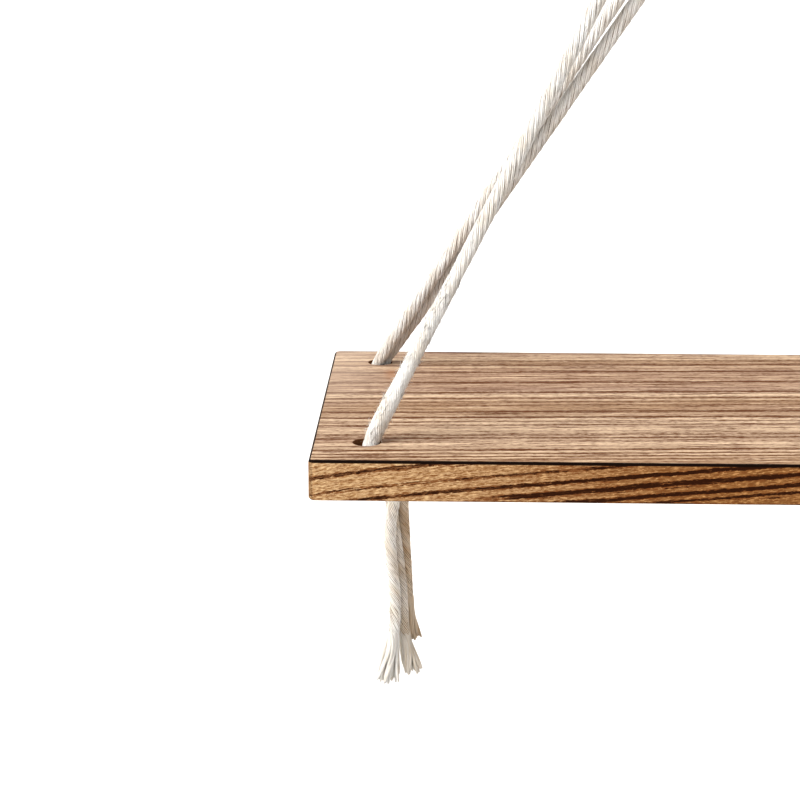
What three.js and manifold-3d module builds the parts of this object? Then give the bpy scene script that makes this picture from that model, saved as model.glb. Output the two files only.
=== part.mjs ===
// Hanging rope shelf: a plank with four drilled holes, hung by three cotton ropes from a D-ring
// on a ceiling screw hook. Each rope is wound round the ring's straight bar at its middle, and its
// two legs run down through holes in the plank. Under each end of the plank the three legs are
// drawn together, tied with turns of rope, and left hanging as a tassel.
// Millimetres, +X along the plank, +Y to the rear, +Z up. The origin is on the ceiling, on the
// hook's axis.
import * as THREE from "three";
import { mergeVertices } from "three/addons/utils/BufferGeometryUtils.js";
import Module from "manifold-3d";

const wasm = await Module();
wasm.setup();

// Plank
const plankLength = 410;
const plankDepth = 210;
const plankThickness = 18;
const plankEdgeRadius = 1.2;
const plankCornerRadius = 3;
const holeDiameter = 12;
const frontHoleInset = 24;
const rearHoleInset = 25;
const frontHoleSetback = 30;
const rearHoleSetback = 26.5;
const holeUnderRounding = 3;

// Rope
const ropeDiameter = 5.4;
const ropeSides = 8;
const stepsPerPoint = 2;
const fitGap = 0.35;
const endGap = 0.3;
const weldTolerance = 0.0001;

// D-ring
const ringWire = 6;
const ringHalfWidth = 50;
const ringHeight = 52.3;
const ringCornerRadius = 8;
const ringSides = 10;
const ringSteps = 60;

// Ceiling hook
const hookWire = 6;
const bowlRadius = 12;
const bowlDrop = 24;
const bowlStartAngle = 50;
const bowlEndAngle = -215;
const seatGap = 0.3;
const flangeDiameter = 20;
const flangeThickness = 2;
const flangeChamfer = 0.6;
const screwLength = 34;
const screwCoreDiameter = 4.4;
const screwPointLength = 7;
const screwPointDiameter = 0.8;
const threadPitch = 3;
const threadTurns = 8;
const threadRise = 1;
const threadStart = 3;
const threadSides = 4;
const stepsPerThread = 8;
const hookSides = 12;
const hookStepsPerPoint = 2;

// Heights worked out from the pieces that hang on each other
const hangDrop = 292;
const ringTop = -bowlDrop - bowlRadius + (hookWire + ringWire) / 2 + seatGap;
const barHeight = ringTop - ringHeight;
const plankUnderside = barHeight - hangDrop;
const plankTop = plankUnderside + plankThickness;

// Turns of rope on the ring's bar and round the gathered legs
const turnPitch = 6.2;
const outerTurns = 2.5;
const middleTurns = 1.5;
const outerTurnsOffset = 28.65;
const barTurnRadius = (ringWire + ropeDiameter) / 2 + fitGap;
const bundleRadius = 3.35;
const knotTurns = 2.5;
const knotTurnRadius = bundleRadius + ropeDiameter + fitGap;
const knotInset = 35;
const knotSetback = 120;
const knotTopDrop = 15;
const stepsPerTurn = 24;
const turnSides = 6;

const overrun = 5;
const roundSegments = 28;
const degrees = Math.PI / 180;

const cottonMaterial = new THREE.MeshStandardMaterial({ color: 0xe9e0d0, roughness: 0.95 });
const tailMaterial = new THREE.MeshStandardMaterial({ color: 0xe2d6c2, roughness: 0.97 });
const woodMaterial = new THREE.MeshStandardMaterial({ color: 0xa97f57, roughness: 0.6 });
const steelMaterial = new THREE.MeshStandardMaterial({
  color: 0xb9bcc0,
  roughness: 0.3,
  metalness: 1,
});

const shelf = new THREE.Group();

function addPiece(name, geometry, material) {
  const mesh = new THREE.Mesh(geometry, material);
  mesh.name = name;
  shelf.add(mesh);
  return mesh;
}

// A closed three.js geometry as a solid that can be joined and cut
function solidOf(geometry) {
  const bare = geometry.clone();
  bare.deleteAttribute("normal");
  bare.deleteAttribute("uv");
  const merged = mergeVertices(bare, weldTolerance);
  return new wasm.Manifold(
    new wasm.Mesh({
      numProp: 3,
      vertProperties: merged.attributes.position.array,
      triVerts: new Uint32Array(merged.index.array),
    }),
  );
}

function geometryOf(solid) {
  const mesh = solid.getMesh();
  const geometry = new THREE.BufferGeometry();
  geometry.setAttribute("position", new THREE.BufferAttribute(mesh.vertProperties, 3));
  geometry.setIndex(new THREE.BufferAttribute(mesh.triVerts, 1));
  geometry.computeVertexNormals();
  return geometry;
}

function circleSection(radius, sides) {
  const shape = new THREE.Shape();
  for (let i = 0; i < sides; i += 1) {
    const angle = (i / sides) * 2 * Math.PI;
    const x = radius * Math.cos(angle);
    const y = radius * Math.sin(angle);
    if (i === 0) shape.moveTo(x, y);
    else shape.lineTo(x, y);
  }
  shape.closePath();
  return shape;
}

// A smooth path that spends the same number of steps between each two of its points
class PointPath extends THREE.CatmullRomCurve3 {
  constructor(points) {
    super(points, false, "centripetal");
  }

  getPointAt(share, target) {
    return this.getPoint(share, target);
  }

  getTangentAt(share, target) {
    return this.getTangent(share, target);
  }
}

// A round tube along a list of points
function tube(points, diameter, sides, stepsEach = 1) {
  return new THREE.ExtrudeGeometry(circleSection(diameter / 2, sides), {
    steps: (points.length - 1) * stepsEach,
    bevelEnabled: false,
    extrudePath: new PointPath(points),
  });
}

function toPoints(list) {
  return list.map(([x, y, z]) => new THREE.Vector3(x, y, z));
}

// The least gap between parts of one winding that are more than half a turn apart
function leastGap(points, diameter) {
  let least = Infinity;
  for (let i = 0; i < points.length; i += 1)
    for (let j = i + stepsPerTurn / 2; j < points.length; j += 1)
      least = Math.min(least, points[i].distanceTo(points[j]) - diameter);
  return least;
}

// A profile of [radius, height] pairs turned about the Z axis
function turned(profile, segments) {
  const points = profile.map(([r, z]) => new THREE.Vector2(r, z));
  return new THREE.LatheGeometry(points, segments).rotateX(Math.PI / 2);
}

// Plank: an eased slab with four rope holes, each rounded over on its underside
function plankOutline() {
  const halfX = plankLength / 2 - plankEdgeRadius;
  const halfY = plankDepth / 2 - plankEdgeRadius;
  const r = plankCornerRadius - plankEdgeRadius;
  const shape = new THREE.Shape();
  shape.moveTo(-halfX + r, -halfY);
  shape.lineTo(halfX - r, -halfY);
  shape.absarc(halfX - r, -halfY + r, r, -Math.PI / 2, 0);
  shape.lineTo(halfX, halfY - r);
  shape.absarc(halfX - r, halfY - r, r, 0, Math.PI / 2);
  shape.lineTo(-halfX + r, halfY);
  shape.absarc(-halfX + r, halfY - r, r, Math.PI / 2, Math.PI);
  shape.lineTo(-halfX, -halfY + r);
  shape.absarc(-halfX + r, -halfY + r, r, Math.PI, 1.5 * Math.PI);
  return shape;
}

function holeCutter() {
  const r = holeDiameter / 2;
  const rounding = holeUnderRounding;
  const profile = [[0, plankTop + overrun], [r, plankTop + overrun]];
  const arcSteps = 4;
  for (let i = 0; i <= arcSteps; i += 1) {
    const angle = (i / arcSteps) * (Math.PI / 2);
    profile.push([
      r + rounding - rounding * Math.cos(angle),
      plankUnderside + rounding - rounding * Math.sin(angle),
    ]);
  }
  profile.push([r + rounding, plankUnderside - overrun], [0, plankUnderside - overrun]);
  return turned(profile.reverse(), roundSegments);
}

function buildPlank() {
  const slab = new THREE.ExtrudeGeometry(plankOutline(), {
    depth: plankThickness - 2 * plankEdgeRadius,
    bevelEnabled: true,
    bevelThickness: plankEdgeRadius,
    bevelSize: plankEdgeRadius,
    bevelSegments: 3,
    curveSegments: 5,
  }).translate(0, 0, plankUnderside + plankEdgeRadius);
  let solid = solidOf(slab);
  for (const side of [-1, 1]) {
    const frontX = side * (plankLength / 2 - frontHoleInset);
    const rearX = side * (plankLength / 2 - rearHoleInset);
    const frontY = -plankDepth / 2 + frontHoleSetback;
    const rearY = plankDepth / 2 - rearHoleSetback;
    for (const [x, y] of [[frontX, frontY], [rearX, rearY]])
      solid = solid.subtract(solidOf(holeCutter().translate(x, y, 0)));
  }
  addPiece("plank", geometryOf(solid), woodMaterial);
}

// Ceiling hook: wood screw, flange and round bowl, with the bowl's centre under the screw
function hookPath() {
  const points = [
    [0, 0, -flangeThickness / 2],
    [0, 0, -bowlDrop / 4],
    [0, bowlRadius / 6, -bowlDrop * 0.42],
  ];
  const bowlPoints = 11;
  for (let i = 0; i < bowlPoints; i += 1) {
    const share = i / (bowlPoints - 1);
    const angle = (bowlStartAngle + (bowlEndAngle - bowlStartAngle) * share) * degrees;
    points.push([0, bowlRadius * Math.cos(angle), -bowlDrop + bowlRadius * Math.sin(angle)]);
  }
  return toPoints(points);
}

function threadPath() {
  const points = [];
  const radius = screwCoreDiameter / 2;
  for (let i = 0; i <= threadTurns * stepsPerThread; i += 1) {
    const angle = (i / stepsPerThread) * 2 * Math.PI;
    const height = threadStart + (i / stepsPerThread) * threadPitch;
    points.push(new THREE.Vector3(radius * Math.cos(angle), radius * Math.sin(angle), height));
  }
  return points;
}

function buildHook() {
  const wire = tube(hookPath(), hookWire, hookSides, hookStepsPerPoint);
  const tipPoint = hookPath().at(-1);
  const tip = new THREE.SphereGeometry(hookWire / 2, hookSides, hookSides / 2)
    .translate(tipPoint.x, tipPoint.y, tipPoint.z);
  const r = flangeDiameter / 2;
  const flange = turned([
    [0, -flangeThickness],
    [r - flangeChamfer, -flangeThickness],
    [r, -flangeThickness + flangeChamfer],
    [r, 0],
    [0, 0],
  ], roundSegments);
  const core = screwCoreDiameter / 2;
  const screw = turned([
    [0, -flangeThickness / 2],
    [core, -flangeThickness / 2],
    [core, screwLength - screwPointLength],
    [screwPointDiameter / 2, screwLength],
    [0, screwLength],
  ], hookSides);
  const thread = tube(threadPath(), threadRise * 2, threadSides);
  const solid = [tip, flange, screw, thread].reduce(
    (whole, geometry) => whole.add(solidOf(geometry)),
    solidOf(wire),
  );
  addPiece("ceiling_hook", geometryOf(solid), steelMaterial);
}

// D-ring: straight bar, rounded corners and a half-ellipse, one closed wire
function ringCurve() {
  const points = [];
  const straight = ringHalfWidth - ringCornerRadius;
  const barPoints = 8;
  for (let i = 0; i <= barPoints; i += 1)
    points.push([-straight + (2 * straight * i) / barPoints, 0, 0]);
  const cornerPoints = 4;
  for (let i = 1; i <= cornerPoints; i += 1) {
    const angle = (i / cornerPoints) * (Math.PI / 2);
    points.push([
      straight + ringCornerRadius * Math.sin(angle),
      0,
      ringCornerRadius - ringCornerRadius * Math.cos(angle),
    ]);
  }
  const archPoints = 16;
  for (let i = 1; i < archPoints; i += 1) {
    const angle = (i / archPoints) * Math.PI;
    points.push([
      ringHalfWidth * Math.cos(angle),
      0,
      ringCornerRadius + (ringHeight - ringCornerRadius) * Math.sin(angle),
    ]);
  }
  for (let i = cornerPoints; i >= 1; i -= 1) {
    const angle = (i / cornerPoints) * (Math.PI / 2);
    points.push([
      -straight - ringCornerRadius * Math.sin(angle),
      0,
      ringCornerRadius - ringCornerRadius * Math.cos(angle),
    ]);
  }
  return new THREE.CatmullRomCurve3(toPoints(points), true, "centripetal");
}

function buildRing() {
  const wire = new THREE.TubeGeometry(ringCurve(), ringSteps, ringWire / 2, ringSides, true);
  addPiece("d_ring", wire.translate(0, 0, barHeight), steelMaterial);
}

// Routes of the legs on the left side, from the bar down to the middle of the tied bundle.
// Points are chosen by hand.
const frontLegRoute = [
  [-40.4, -7.5, -89.7], [-56.3, -15.1, -120], [-72, -22.7, -150], [-87.7, -30.3, -180],
  [-103.4, -37.9, -210], [-119, -45.4, -240], [-134.7, -53, -270], [-150.4, -60.6, -300],
  [-166.1, -68.2, -330], [-173.4, -71.7, -344], [-176.3, -73.2, -349.5],
  [-178, -74.1, -353.4], [-179.3, -74.9, -357.4], [-180.1, -75.6, -361.6],
  [-180.4, -76, -365.6], [-180.3, -75, -370.6], [-179.9, -72.2, -374.8],
  [-179.35, -68.05, -377.6], [-178.7, -63.1, -378.6], [-177, -50, -378.6],
  [-174.4, -30, -378.6], [-172, -13, -378.6], [-170.5, -1.35, -378.6],
  [-170.3, 3.6, -379.6], [-170.1, 7.8, -382.4], [-170, 10.65, -386.6],
  [-170, 11.65, -391.6], [-170, 11.65, -396],
];
const rearOuterLegRoute = [
  [-20.9, 6.05, -87.7], [-21.1, 6.15, -90.3], [-21.8, 6.5, -92.9], [-22.9, 7.05, -95.2],
  [-27.1, 8.9, -102], [-38, 13.6, -120], [-56.3, 21.55, -150], [-74.6, 29.5, -180],
  [-92.9, 37.4, -210], [-111.1, 45.35, -240], [-129.4, 53.3, -270], [-147.7, 61.25, -300],
  [-165.9, 69.15, -330], [-174.4, 72.85, -344], [-178, 74.45, -350], [-180.2, 75.3, -353.8],
  [-181.75, 76.1, -357.2], [-182.55, 77.15, -360.9], [-182.9, 78.3, -364.6],
  [-182.8, 79.1, -368.6], [-182.5, 78.4, -375.3], [-181.55, 74.45, -381.1],
  [-180.7, 69.25, -384], [-179.9, 64.4, -384.8], [-178.4, 56, -383.9], [-176.6, 46, -381.9],
  [-174.5, 37, -380.1], [-173.1, 29.7, -379.4], [-172.9, 24.7, -380.4],
  [-172.9, 20.5, -383.2], [-172.9, 17.7, -387.4], [-172.9, 16.7, -392.4],
  [-172.9, 16.7, -396],
];
const rearInnerLegRoute = [
  [-7.8, 7.5, -89.3], [-27.2, 15.9, -120], [-46.1, 24.1, -150], [-65.2, 32.35, -180],
  [-84.3, 40.6, -210], [-103.4, 48.8, -240], [-122.5, 57.05, -270], [-141.6, 65.3, -300],
  [-160.7, 73.5, -330], [-169.7, 77.5, -344], [-173.75, 79.3, -350], [-176.5, 80, -353.8],
  [-177.45, 79.95, -357.2], [-177.3, 79.35, -360.9], [-177.05, 78.15, -364.6],
  [-177.25, 77.15, -369], [-177.3, 75.95, -374.1], [-176.9, 72.75, -378.2],
  [-176.2, 68.8, -380.4], [-175.6, 65.1, -381], [-173.1, 56, -380.7], [-170.4, 46, -380.2],
  [-168.2, 37, -379.6], [-167.1, 29.7, -379.4], [-167.1, 24.7, -380.4],
  [-167.1, 20.5, -383.2], [-167.1, 17.7, -387.4], [-167.1, 16.7, -392.4],
  [-167.1, 16.7, -396],
];
// The middle rope's right leg leaves at the front of the bar, so it starts on a route of its own.
const rearInnerRightTop = [
  [8, -4.4, -88.4], [27.9, 5.7, -120], [46.8, 15.3, -150], [65.7, 24.9, -180],
  [84.6, 34.5, -210], [103.5, 44.1, -240], [122.4, 53.8, -270], [141.4, 63.5, -300],
  [160.7, 73.1, -330],
];
// Routes of the tails on the left side, from the tied bundle down to the frayed ends.
const frontTailRoute = [
  [-170, 11.65, -396.3], [-170, 11.65, -402], [-170.5, 11.5, -408], [-171.8, 11.2, -415],
  [-172.7, 11, -422], [-172.8, 11, -432], [-172.2, 11, -442], [-171.1, 11, -452],
  [-170.3, 11, -462], [-170.4, 11, -472], [-171.3, 11, -483], [-172.3, 11, -494],
  [-173.1, 11, -506],
];
const rearOuterTailRoute = [
  [-172.9, 16.7, -396.3], [-172.9, 16.7, -402], [-172.8, 16.9, -408], [-172.3, 17.1, -415],
  [-171.6, 17.1, -422], [-170.3, 17, -432], [-169, 16.9, -442], [-167.9, 16.8, -452],
  [-167.1, 16.7, -462], [-166.5, 16.6, -473], [-165.6, 16.7, -484], [-164, 16.8, -494],
  [-162.2, 17, -503],
];
const rearInnerTailRoute = [
  [-167.1, 16.7, -396.3], [-167.1, 16.7, -402], [-167, 17.5, -408], [-166.8, 19.2, -415],
  [-166.5, 20.6, -422], [-166.1, 21.6, -432], [-165.6, 21.9, -442], [-164.9, 22, -452],
  [-164.4, 22, -462], [-163.6, 21.9, -474], [-161.9, 21.8, -487],
];

function mirrored(route) {
  return route.map(([x, y, z]) => [-x, y, z]);
}

// Turns of rope on the bar. startSide is -1 when the left leg leaves at the front of the bar and
// +1 when it leaves at the rear. Each end runs straight into the leg that it carries on as.
function barTurnPoints(centreX, turns, startSide, leftLeg, rightLeg) {
  const count = Math.round(turns * stepsPerTurn);
  const points = [];
  for (let i = 0; i <= count; i += 1) {
    const share = i / count;
    const angle = share * turns * 2 * Math.PI;
    points.push(new THREE.Vector3(
      centreX + (share - 0.5) * turns * turnPitch,
      startSide * barTurnRadius * Math.cos(angle),
      barHeight + barTurnRadius * Math.sin(angle),
    ));
  }
  return [...straightEnd(leftLeg), ...points, ...straightEnd(rightLeg).reverse()];
}

// The straight end of a winding, just short of the leg that starts there
function straightEnd(legRoute) {
  const [start, next] = toPoints(legRoute.slice(0, 2));
  const lead = start.clone().sub(next).normalize();
  return [
    start.clone().addScaledVector(lead, endGap),
    start.clone().addScaledVector(lead, endGap + ropeDiameter),
  ];
}

function buildBarTurns() {
  const leftPoints = barTurnPoints(
    -outerTurnsOffset, outerTurns, -1, frontLegRoute, rearOuterLegRoute,
  );
  const middlePoints = barTurnPoints(0, middleTurns, 1, rearInnerLegRoute, rearInnerRightTop);
  const windings = [
    ["rope_turns_left", leftPoints],
    ["rope_turns_middle", middlePoints],
    ["rope_turns_right", leftPoints.map((p) => new THREE.Vector3(-p.x, p.y, p.z))],
  ];
  for (const [name, points] of windings) {
    console.log(name, "least gap to itself", leastGap(points, ropeDiameter).toFixed(2), "mm");
    addPiece(name, tube(points, ropeDiameter, turnSides), cottonMaterial);
  }
}

function ropeTube(name, route, material) {
  addPiece(name, tube(toPoints(route), ropeDiameter, ropeSides, stepsPerPoint), material);
}

function buildLegs() {
  const rightTopCount = rearInnerRightTop.length;
  const rearInnerRightRoute = [
    ...rearInnerRightTop,
    ...mirrored(rearInnerLegRoute.slice(rightTopCount)),
  ];
  ropeTube("front_leg_left", frontLegRoute, cottonMaterial);
  ropeTube("rear_outer_leg_left", rearOuterLegRoute, cottonMaterial);
  ropeTube("rear_inner_leg_left", rearInnerLegRoute, cottonMaterial);
  ropeTube("front_leg_right", mirrored(frontLegRoute), cottonMaterial);
  ropeTube("rear_outer_leg_right", mirrored(rearOuterLegRoute), cottonMaterial);
  ropeTube("rear_inner_leg_right", rearInnerRightRoute, cottonMaterial);
}

function buildTails() {
  const tails = [
    ["front_tail", frontTailRoute],
    ["rear_outer_tail", rearOuterTailRoute],
    ["rear_inner_tail", rearInnerTailRoute],
  ];
  for (const [name, route] of tails) {
    ropeTube(`${name}_left`, route, tailMaterial);
    ropeTube(`${name}_right`, mirrored(route), tailMaterial);
  }
}

// Turns of rope that tie the three legs together under each end of the plank. Each end runs
// straight off the last turn.
function knotPoints(side) {
  const points = [];
  const count = Math.round(knotTurns * stepsPerTurn);
  const centreX = side * (plankLength / 2 - knotInset);
  const centreY = -plankDepth / 2 + knotSetback;
  for (let i = 0; i <= count; i += 1) {
    const turns = i / stepsPerTurn;
    const angle = turns * 2 * Math.PI;
    points.push(new THREE.Vector3(
      centreX - side * knotTurnRadius * Math.cos(angle),
      centreY + knotTurnRadius * Math.sin(angle),
      plankUnderside - knotTopDrop - turns * turnPitch,
    ));
  }
  const before = points[0].clone().sub(points[1]).setLength(ropeDiameter).add(points[0]);
  const after = points.at(-1).clone().sub(points.at(-2)).setLength(ropeDiameter).add(points.at(-1));
  return [before, ...points, after];
}

function buildKnots() {
  for (const [name, side] of [["gathering_knot_left", -1], ["gathering_knot_right", 1]]) {
    const points = knotPoints(side);
    console.log(name, "least gap to itself", leastGap(points, ropeDiameter).toFixed(2), "mm");
    addPiece(name, tube(points, ropeDiameter, turnSides), cottonMaterial);
  }
}

buildHook();
buildRing();
buildBarTurns();
buildLegs();
buildPlank();
buildKnots();
buildTails();

export default shelf;
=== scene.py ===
import math

import bmesh
import bpy
import numpy as np
from mathutils import Matrix, Vector


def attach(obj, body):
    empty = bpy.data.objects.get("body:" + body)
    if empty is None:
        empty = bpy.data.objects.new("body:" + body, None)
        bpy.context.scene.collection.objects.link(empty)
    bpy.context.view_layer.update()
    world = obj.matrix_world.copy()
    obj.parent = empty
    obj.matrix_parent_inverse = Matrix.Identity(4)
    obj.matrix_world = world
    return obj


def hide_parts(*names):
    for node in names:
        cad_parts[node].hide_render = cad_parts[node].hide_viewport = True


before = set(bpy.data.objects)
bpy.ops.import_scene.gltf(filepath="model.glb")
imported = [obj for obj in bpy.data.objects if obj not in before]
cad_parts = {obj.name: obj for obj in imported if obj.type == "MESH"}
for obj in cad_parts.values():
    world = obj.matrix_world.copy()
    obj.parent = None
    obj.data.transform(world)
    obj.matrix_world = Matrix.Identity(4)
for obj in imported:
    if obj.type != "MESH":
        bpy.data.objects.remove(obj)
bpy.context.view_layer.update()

MM = 0.001
random_numbers = np.random.default_rng(7)


def add_object(name, data):
    thing = bpy.data.objects.new(name, data)
    bpy.context.scene.collection.objects.link(thing)
    return thing


CAMERA_PLACE = np.array([-149.21, -877.03, -129.83])
CAMERA_PITCH = math.radians(14.453)
CAMERA_YAW = math.radians(-1.225)
CAMERA_ROLL = math.radians(0.206)
CAMERA_LENS = 85
CAMERA_SENSOR = 36
PICTURE_SIDE = 800
CAMERA_TURN = (
    Matrix.Rotation(-CAMERA_YAW, 3, "Z") @ Matrix.Rotation(math.pi / 2 - CAMERA_PITCH, 3, "X")
    @ Matrix.Rotation(CAMERA_ROLL, 3, "Z")
)


def pixel_on_plane(pixel_x, pixel_y, axis, height):
    """The point in millimetres where the ray through a pixel meets a plane across one axis."""
    focal = PICTURE_SIDE * CAMERA_LENS / CAMERA_SENSOR
    middle = PICTURE_SIDE / 2
    ray = np.array(CAMERA_TURN @ Vector((pixel_x - middle, middle - pixel_y, -focal)))
    return CAMERA_PLACE + ray * (height - CAMERA_PLACE[axis]) / ray[axis]


def add_camera():
    data = bpy.data.cameras.new("camera")
    data.lens = CAMERA_LENS
    data.sensor_width = CAMERA_SENSOR
    data.sensor_fit = "HORIZONTAL"
    data.clip_start = 0.05
    data.clip_end = 60
    camera = add_object("camera", data)
    camera.matrix_world = Matrix.Translation(CAMERA_PLACE * MM) @ CAMERA_TURN.to_4x4()
    bpy.context.scene.camera = camera


add_camera()

PLANK_LENGTH = 410
PLANK_DEPTH = 210
PLANK_TOP = -356
PLANK_UNDERSIDE = -374
HOLE_PLACES = [(181, -75), (180, 78.5)]
BAR_HEIGHT = -82
BAR_TURN_RADIUS = 6.05
TURN_PITCH = 6.2
OUTER_TURNS = 2.5
MIDDLE_TURNS = 1.5
OUTER_TURNS_OFFSET = 28.65
KNOT_TURN_RADIUS = 9.1
KNOT_TURNS = 2.5
KNOT_X = 170
KNOT_Y = 15
KNOT_TOP = -389
STEPS_PER_TURN = 24
# The straight end of a winding, and the gap between it and the next piece of its rope
ROPE_END = 5.4
PIECE_GAP = 0.3

FRONT_LEG = [
    [-40.4, -7.5, -89.7], [-56.3, -15.1, -120], [-72, -22.7, -150], [-87.7, -30.3, -180],
    [-103.4, -37.9, -210], [-119, -45.4, -240], [-134.7, -53, -270], [-150.4, -60.6, -300],
    [-166.1, -68.2, -330], [-173.4, -71.7, -344], [-176.3, -73.2, -349.5],
    [-178, -74.1, -353.4], [-179.3, -74.9, -357.4], [-180.1, -75.6, -361.6],
    [-180.4, -76, -365.6], [-180.3, -75, -370.6], [-179.9, -72.2, -374.8],
    [-179.35, -68.05, -377.6], [-178.7, -63.1, -378.6], [-177, -50, -378.6],
    [-174.4, -30, -378.6], [-172, -13, -378.6], [-170.5, -1.35, -378.6],
    [-170.3, 3.6, -379.6], [-170.1, 7.8, -382.4], [-170, 10.65, -386.6],
    [-170, 11.65, -391.6], [-170, 11.65, -396],
]
REAR_OUTER_LEG = [
    [-20.9, 6.05, -87.7], [-21.1, 6.15, -90.3], [-21.8, 6.5, -92.9], [-22.9, 7.05, -95.2],
    [-27.1, 8.9, -102], [-38, 13.6, -120], [-56.3, 21.55, -150], [-74.6, 29.5, -180],
    [-92.9, 37.4, -210], [-111.1, 45.35, -240], [-129.4, 53.3, -270], [-147.7, 61.25, -300],
    [-165.9, 69.15, -330], [-174.4, 72.85, -344], [-178, 74.45, -350], [-180.2, 75.3, -353.8],
    [-181.75, 76.1, -357.2], [-182.55, 77.15, -360.9], [-182.9, 78.3, -364.6],
    [-182.8, 79.1, -368.6], [-182.5, 78.4, -375.3], [-181.55, 74.45, -381.1],
    [-180.7, 69.25, -384], [-179.9, 64.4, -384.8], [-178.4, 56, -383.9], [-176.6, 46, -381.9],
    [-174.5, 37, -380.1], [-173.1, 29.7, -379.4], [-172.9, 24.7, -380.4],
    [-172.9, 20.5, -383.2], [-172.9, 17.7, -387.4], [-172.9, 16.7, -392.4],
    [-172.9, 16.7, -396],
]
REAR_INNER_LEG = [
    [-7.8, 7.5, -89.3], [-27.2, 15.9, -120], [-46.1, 24.1, -150], [-65.2, 32.35, -180],
    [-84.3, 40.6, -210], [-103.4, 48.8, -240], [-122.5, 57.05, -270], [-141.6, 65.3, -300],
    [-160.7, 73.5, -330], [-169.7, 77.5, -344], [-173.75, 79.3, -350], [-176.5, 80, -353.8],
    [-177.45, 79.95, -357.2], [-177.3, 79.35, -360.9], [-177.05, 78.15, -364.6],
    [-177.25, 77.15, -369], [-177.3, 75.95, -374.1], [-176.9, 72.75, -378.2],
    [-176.2, 68.8, -380.4], [-175.6, 65.1, -381], [-173.1, 56, -380.7], [-170.4, 46, -380.2],
    [-168.2, 37, -379.6], [-167.1, 29.7, -379.4], [-167.1, 24.7, -380.4],
    [-167.1, 20.5, -383.2], [-167.1, 17.7, -387.4], [-167.1, 16.7, -392.4],
    [-167.1, 16.7, -396],
]
REAR_INNER_RIGHT_TOP = [
    [8, -4.4, -88.4], [27.9, 5.7, -120], [46.8, 15.3, -150], [65.7, 24.9, -180],
    [84.6, 34.5, -210], [103.5, 44.1, -240], [122.4, 53.8, -270], [141.4, 63.5, -300],
    [160.7, 73.1, -330],
]
FRONT_TAIL = [
    [-170, 11.65, -396.3], [-170, 11.65, -402], [-170.5, 11.5, -408], [-171.8, 11.2, -415],
    [-172.7, 11, -422], [-172.8, 11, -432], [-172.2, 11, -442], [-171.1, 11, -452],
    [-170.3, 11, -462], [-170.4, 11, -472], [-171.3, 11, -483], [-172.3, 11, -494],
    [-173.1, 11, -506],
]
REAR_OUTER_TAIL = [
    [-172.9, 16.7, -396.3], [-172.9, 16.7, -402], [-172.8, 16.9, -408], [-172.3, 17.1, -415],
    [-171.6, 17.1, -422], [-170.3, 17, -432], [-169, 16.9, -442], [-167.9, 16.8, -452],
    [-167.1, 16.7, -462], [-166.5, 16.6, -473], [-165.6, 16.7, -484], [-164, 16.8, -494],
    [-162.2, 17, -503],
]
REAR_INNER_TAIL = [
    [-167.1, 16.7, -396.3], [-167.1, 16.7, -402], [-167, 17.5, -408], [-166.8, 19.2, -415],
    [-166.5, 20.6, -422], [-166.1, 21.6, -432], [-165.6, 21.9, -442], [-164.9, 22, -452],
    [-164.4, 22, -462], [-163.6, 21.9, -474], [-161.9, 21.8, -487],
]


def mirrored(route):
    return [[-x, y, z] for x, y, z in route]


def smooth_line(points, steps=16, closed=False):
    """Points along the smooth curve that the CAD tubes follow."""
    given = [np.array(p, float) for p in points]
    if closed:
        ring = [given[-1], *given, *given[:2]]
    else:
        ring = [2 * given[0] - given[1], *given, 2 * given[-1] - given[-2]]
    t = np.arange(steps)[:, None] / steps
    line = []
    for before, start, end, after in zip(ring, ring[1:], ring[2:], ring[3:]):
        d0, d1, d2 = np.sqrt(np.linalg.norm([start - before, end - start, after - end], axis=1))
        leave = ((start - before) / d0 - (end - before) / (d0 + d1) + (end - start) / d1) * d1
        arrive = ((end - start) / d1 - (after - start) / (d1 + d2) + (after - end) / d2) * d1
        line.extend(
            (2 * t**3 - 3 * t**2 + 1) * start + (t**3 - 2 * t**2 + t) * leave
            + (3 * t**2 - 2 * t**3) * end + (t**3 - t**2) * arrive
        )
    if not closed:
        line.append(given[-1])
    return np.array(line)


def beyond(end, inner, reach):
    """The point this far past the end of a line, from its last point and the one before."""
    lead = np.subtract(end, inner)
    return np.array(end) + lead * reach / np.linalg.norm(lead)


def straight_end(leg):
    return [beyond(*leg[:2], PIECE_GAP), beyond(*leg[:2], PIECE_GAP + ROPE_END)]


def coil(turns, radius):
    """How far each point of a winding is along its axis, and its place across it."""
    for done in np.arange(round(turns * STEPS_PER_TURN) + 1) / STEPS_PER_TURN:
        angle = done * 2 * math.pi
        yield done * TURN_PITCH, radius * math.cos(angle), radius * math.sin(angle)


def bar_turns(centre_x, turns, start_side, left_leg, right_leg):
    """The winding on the ring's bar, with a straight end towards each of its two legs."""
    start = centre_x - turns * TURN_PITCH / 2
    points = [
        [start + along, start_side * forth, BAR_HEIGHT + up]
        for along, forth, up in coil(turns, BAR_TURN_RADIUS)
    ]
    return [*straight_end(left_leg), *points, *straight_end(right_leg)[::-1]]


def knot_turns(side):
    """The turns of a tie round its three legs, with a straight end before and after them."""
    points = [
        [side * (KNOT_X - inwards), KNOT_Y + back, KNOT_TOP - down]
        for down, inwards, back in coil(KNOT_TURNS, KNOT_TURN_RADIUS)
    ]
    return [beyond(*points[:2], ROPE_END), *points, beyond(points[-1], points[-2], ROPE_END)]


STRANDS = 8
YARNS = 20
YARN_DEPTH = 0.05
LAY_LENGTH = 42
TAIL_LAY_SHARE = 0.7
RING_SIDES = 80
RING_STEP = 1.25
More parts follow.
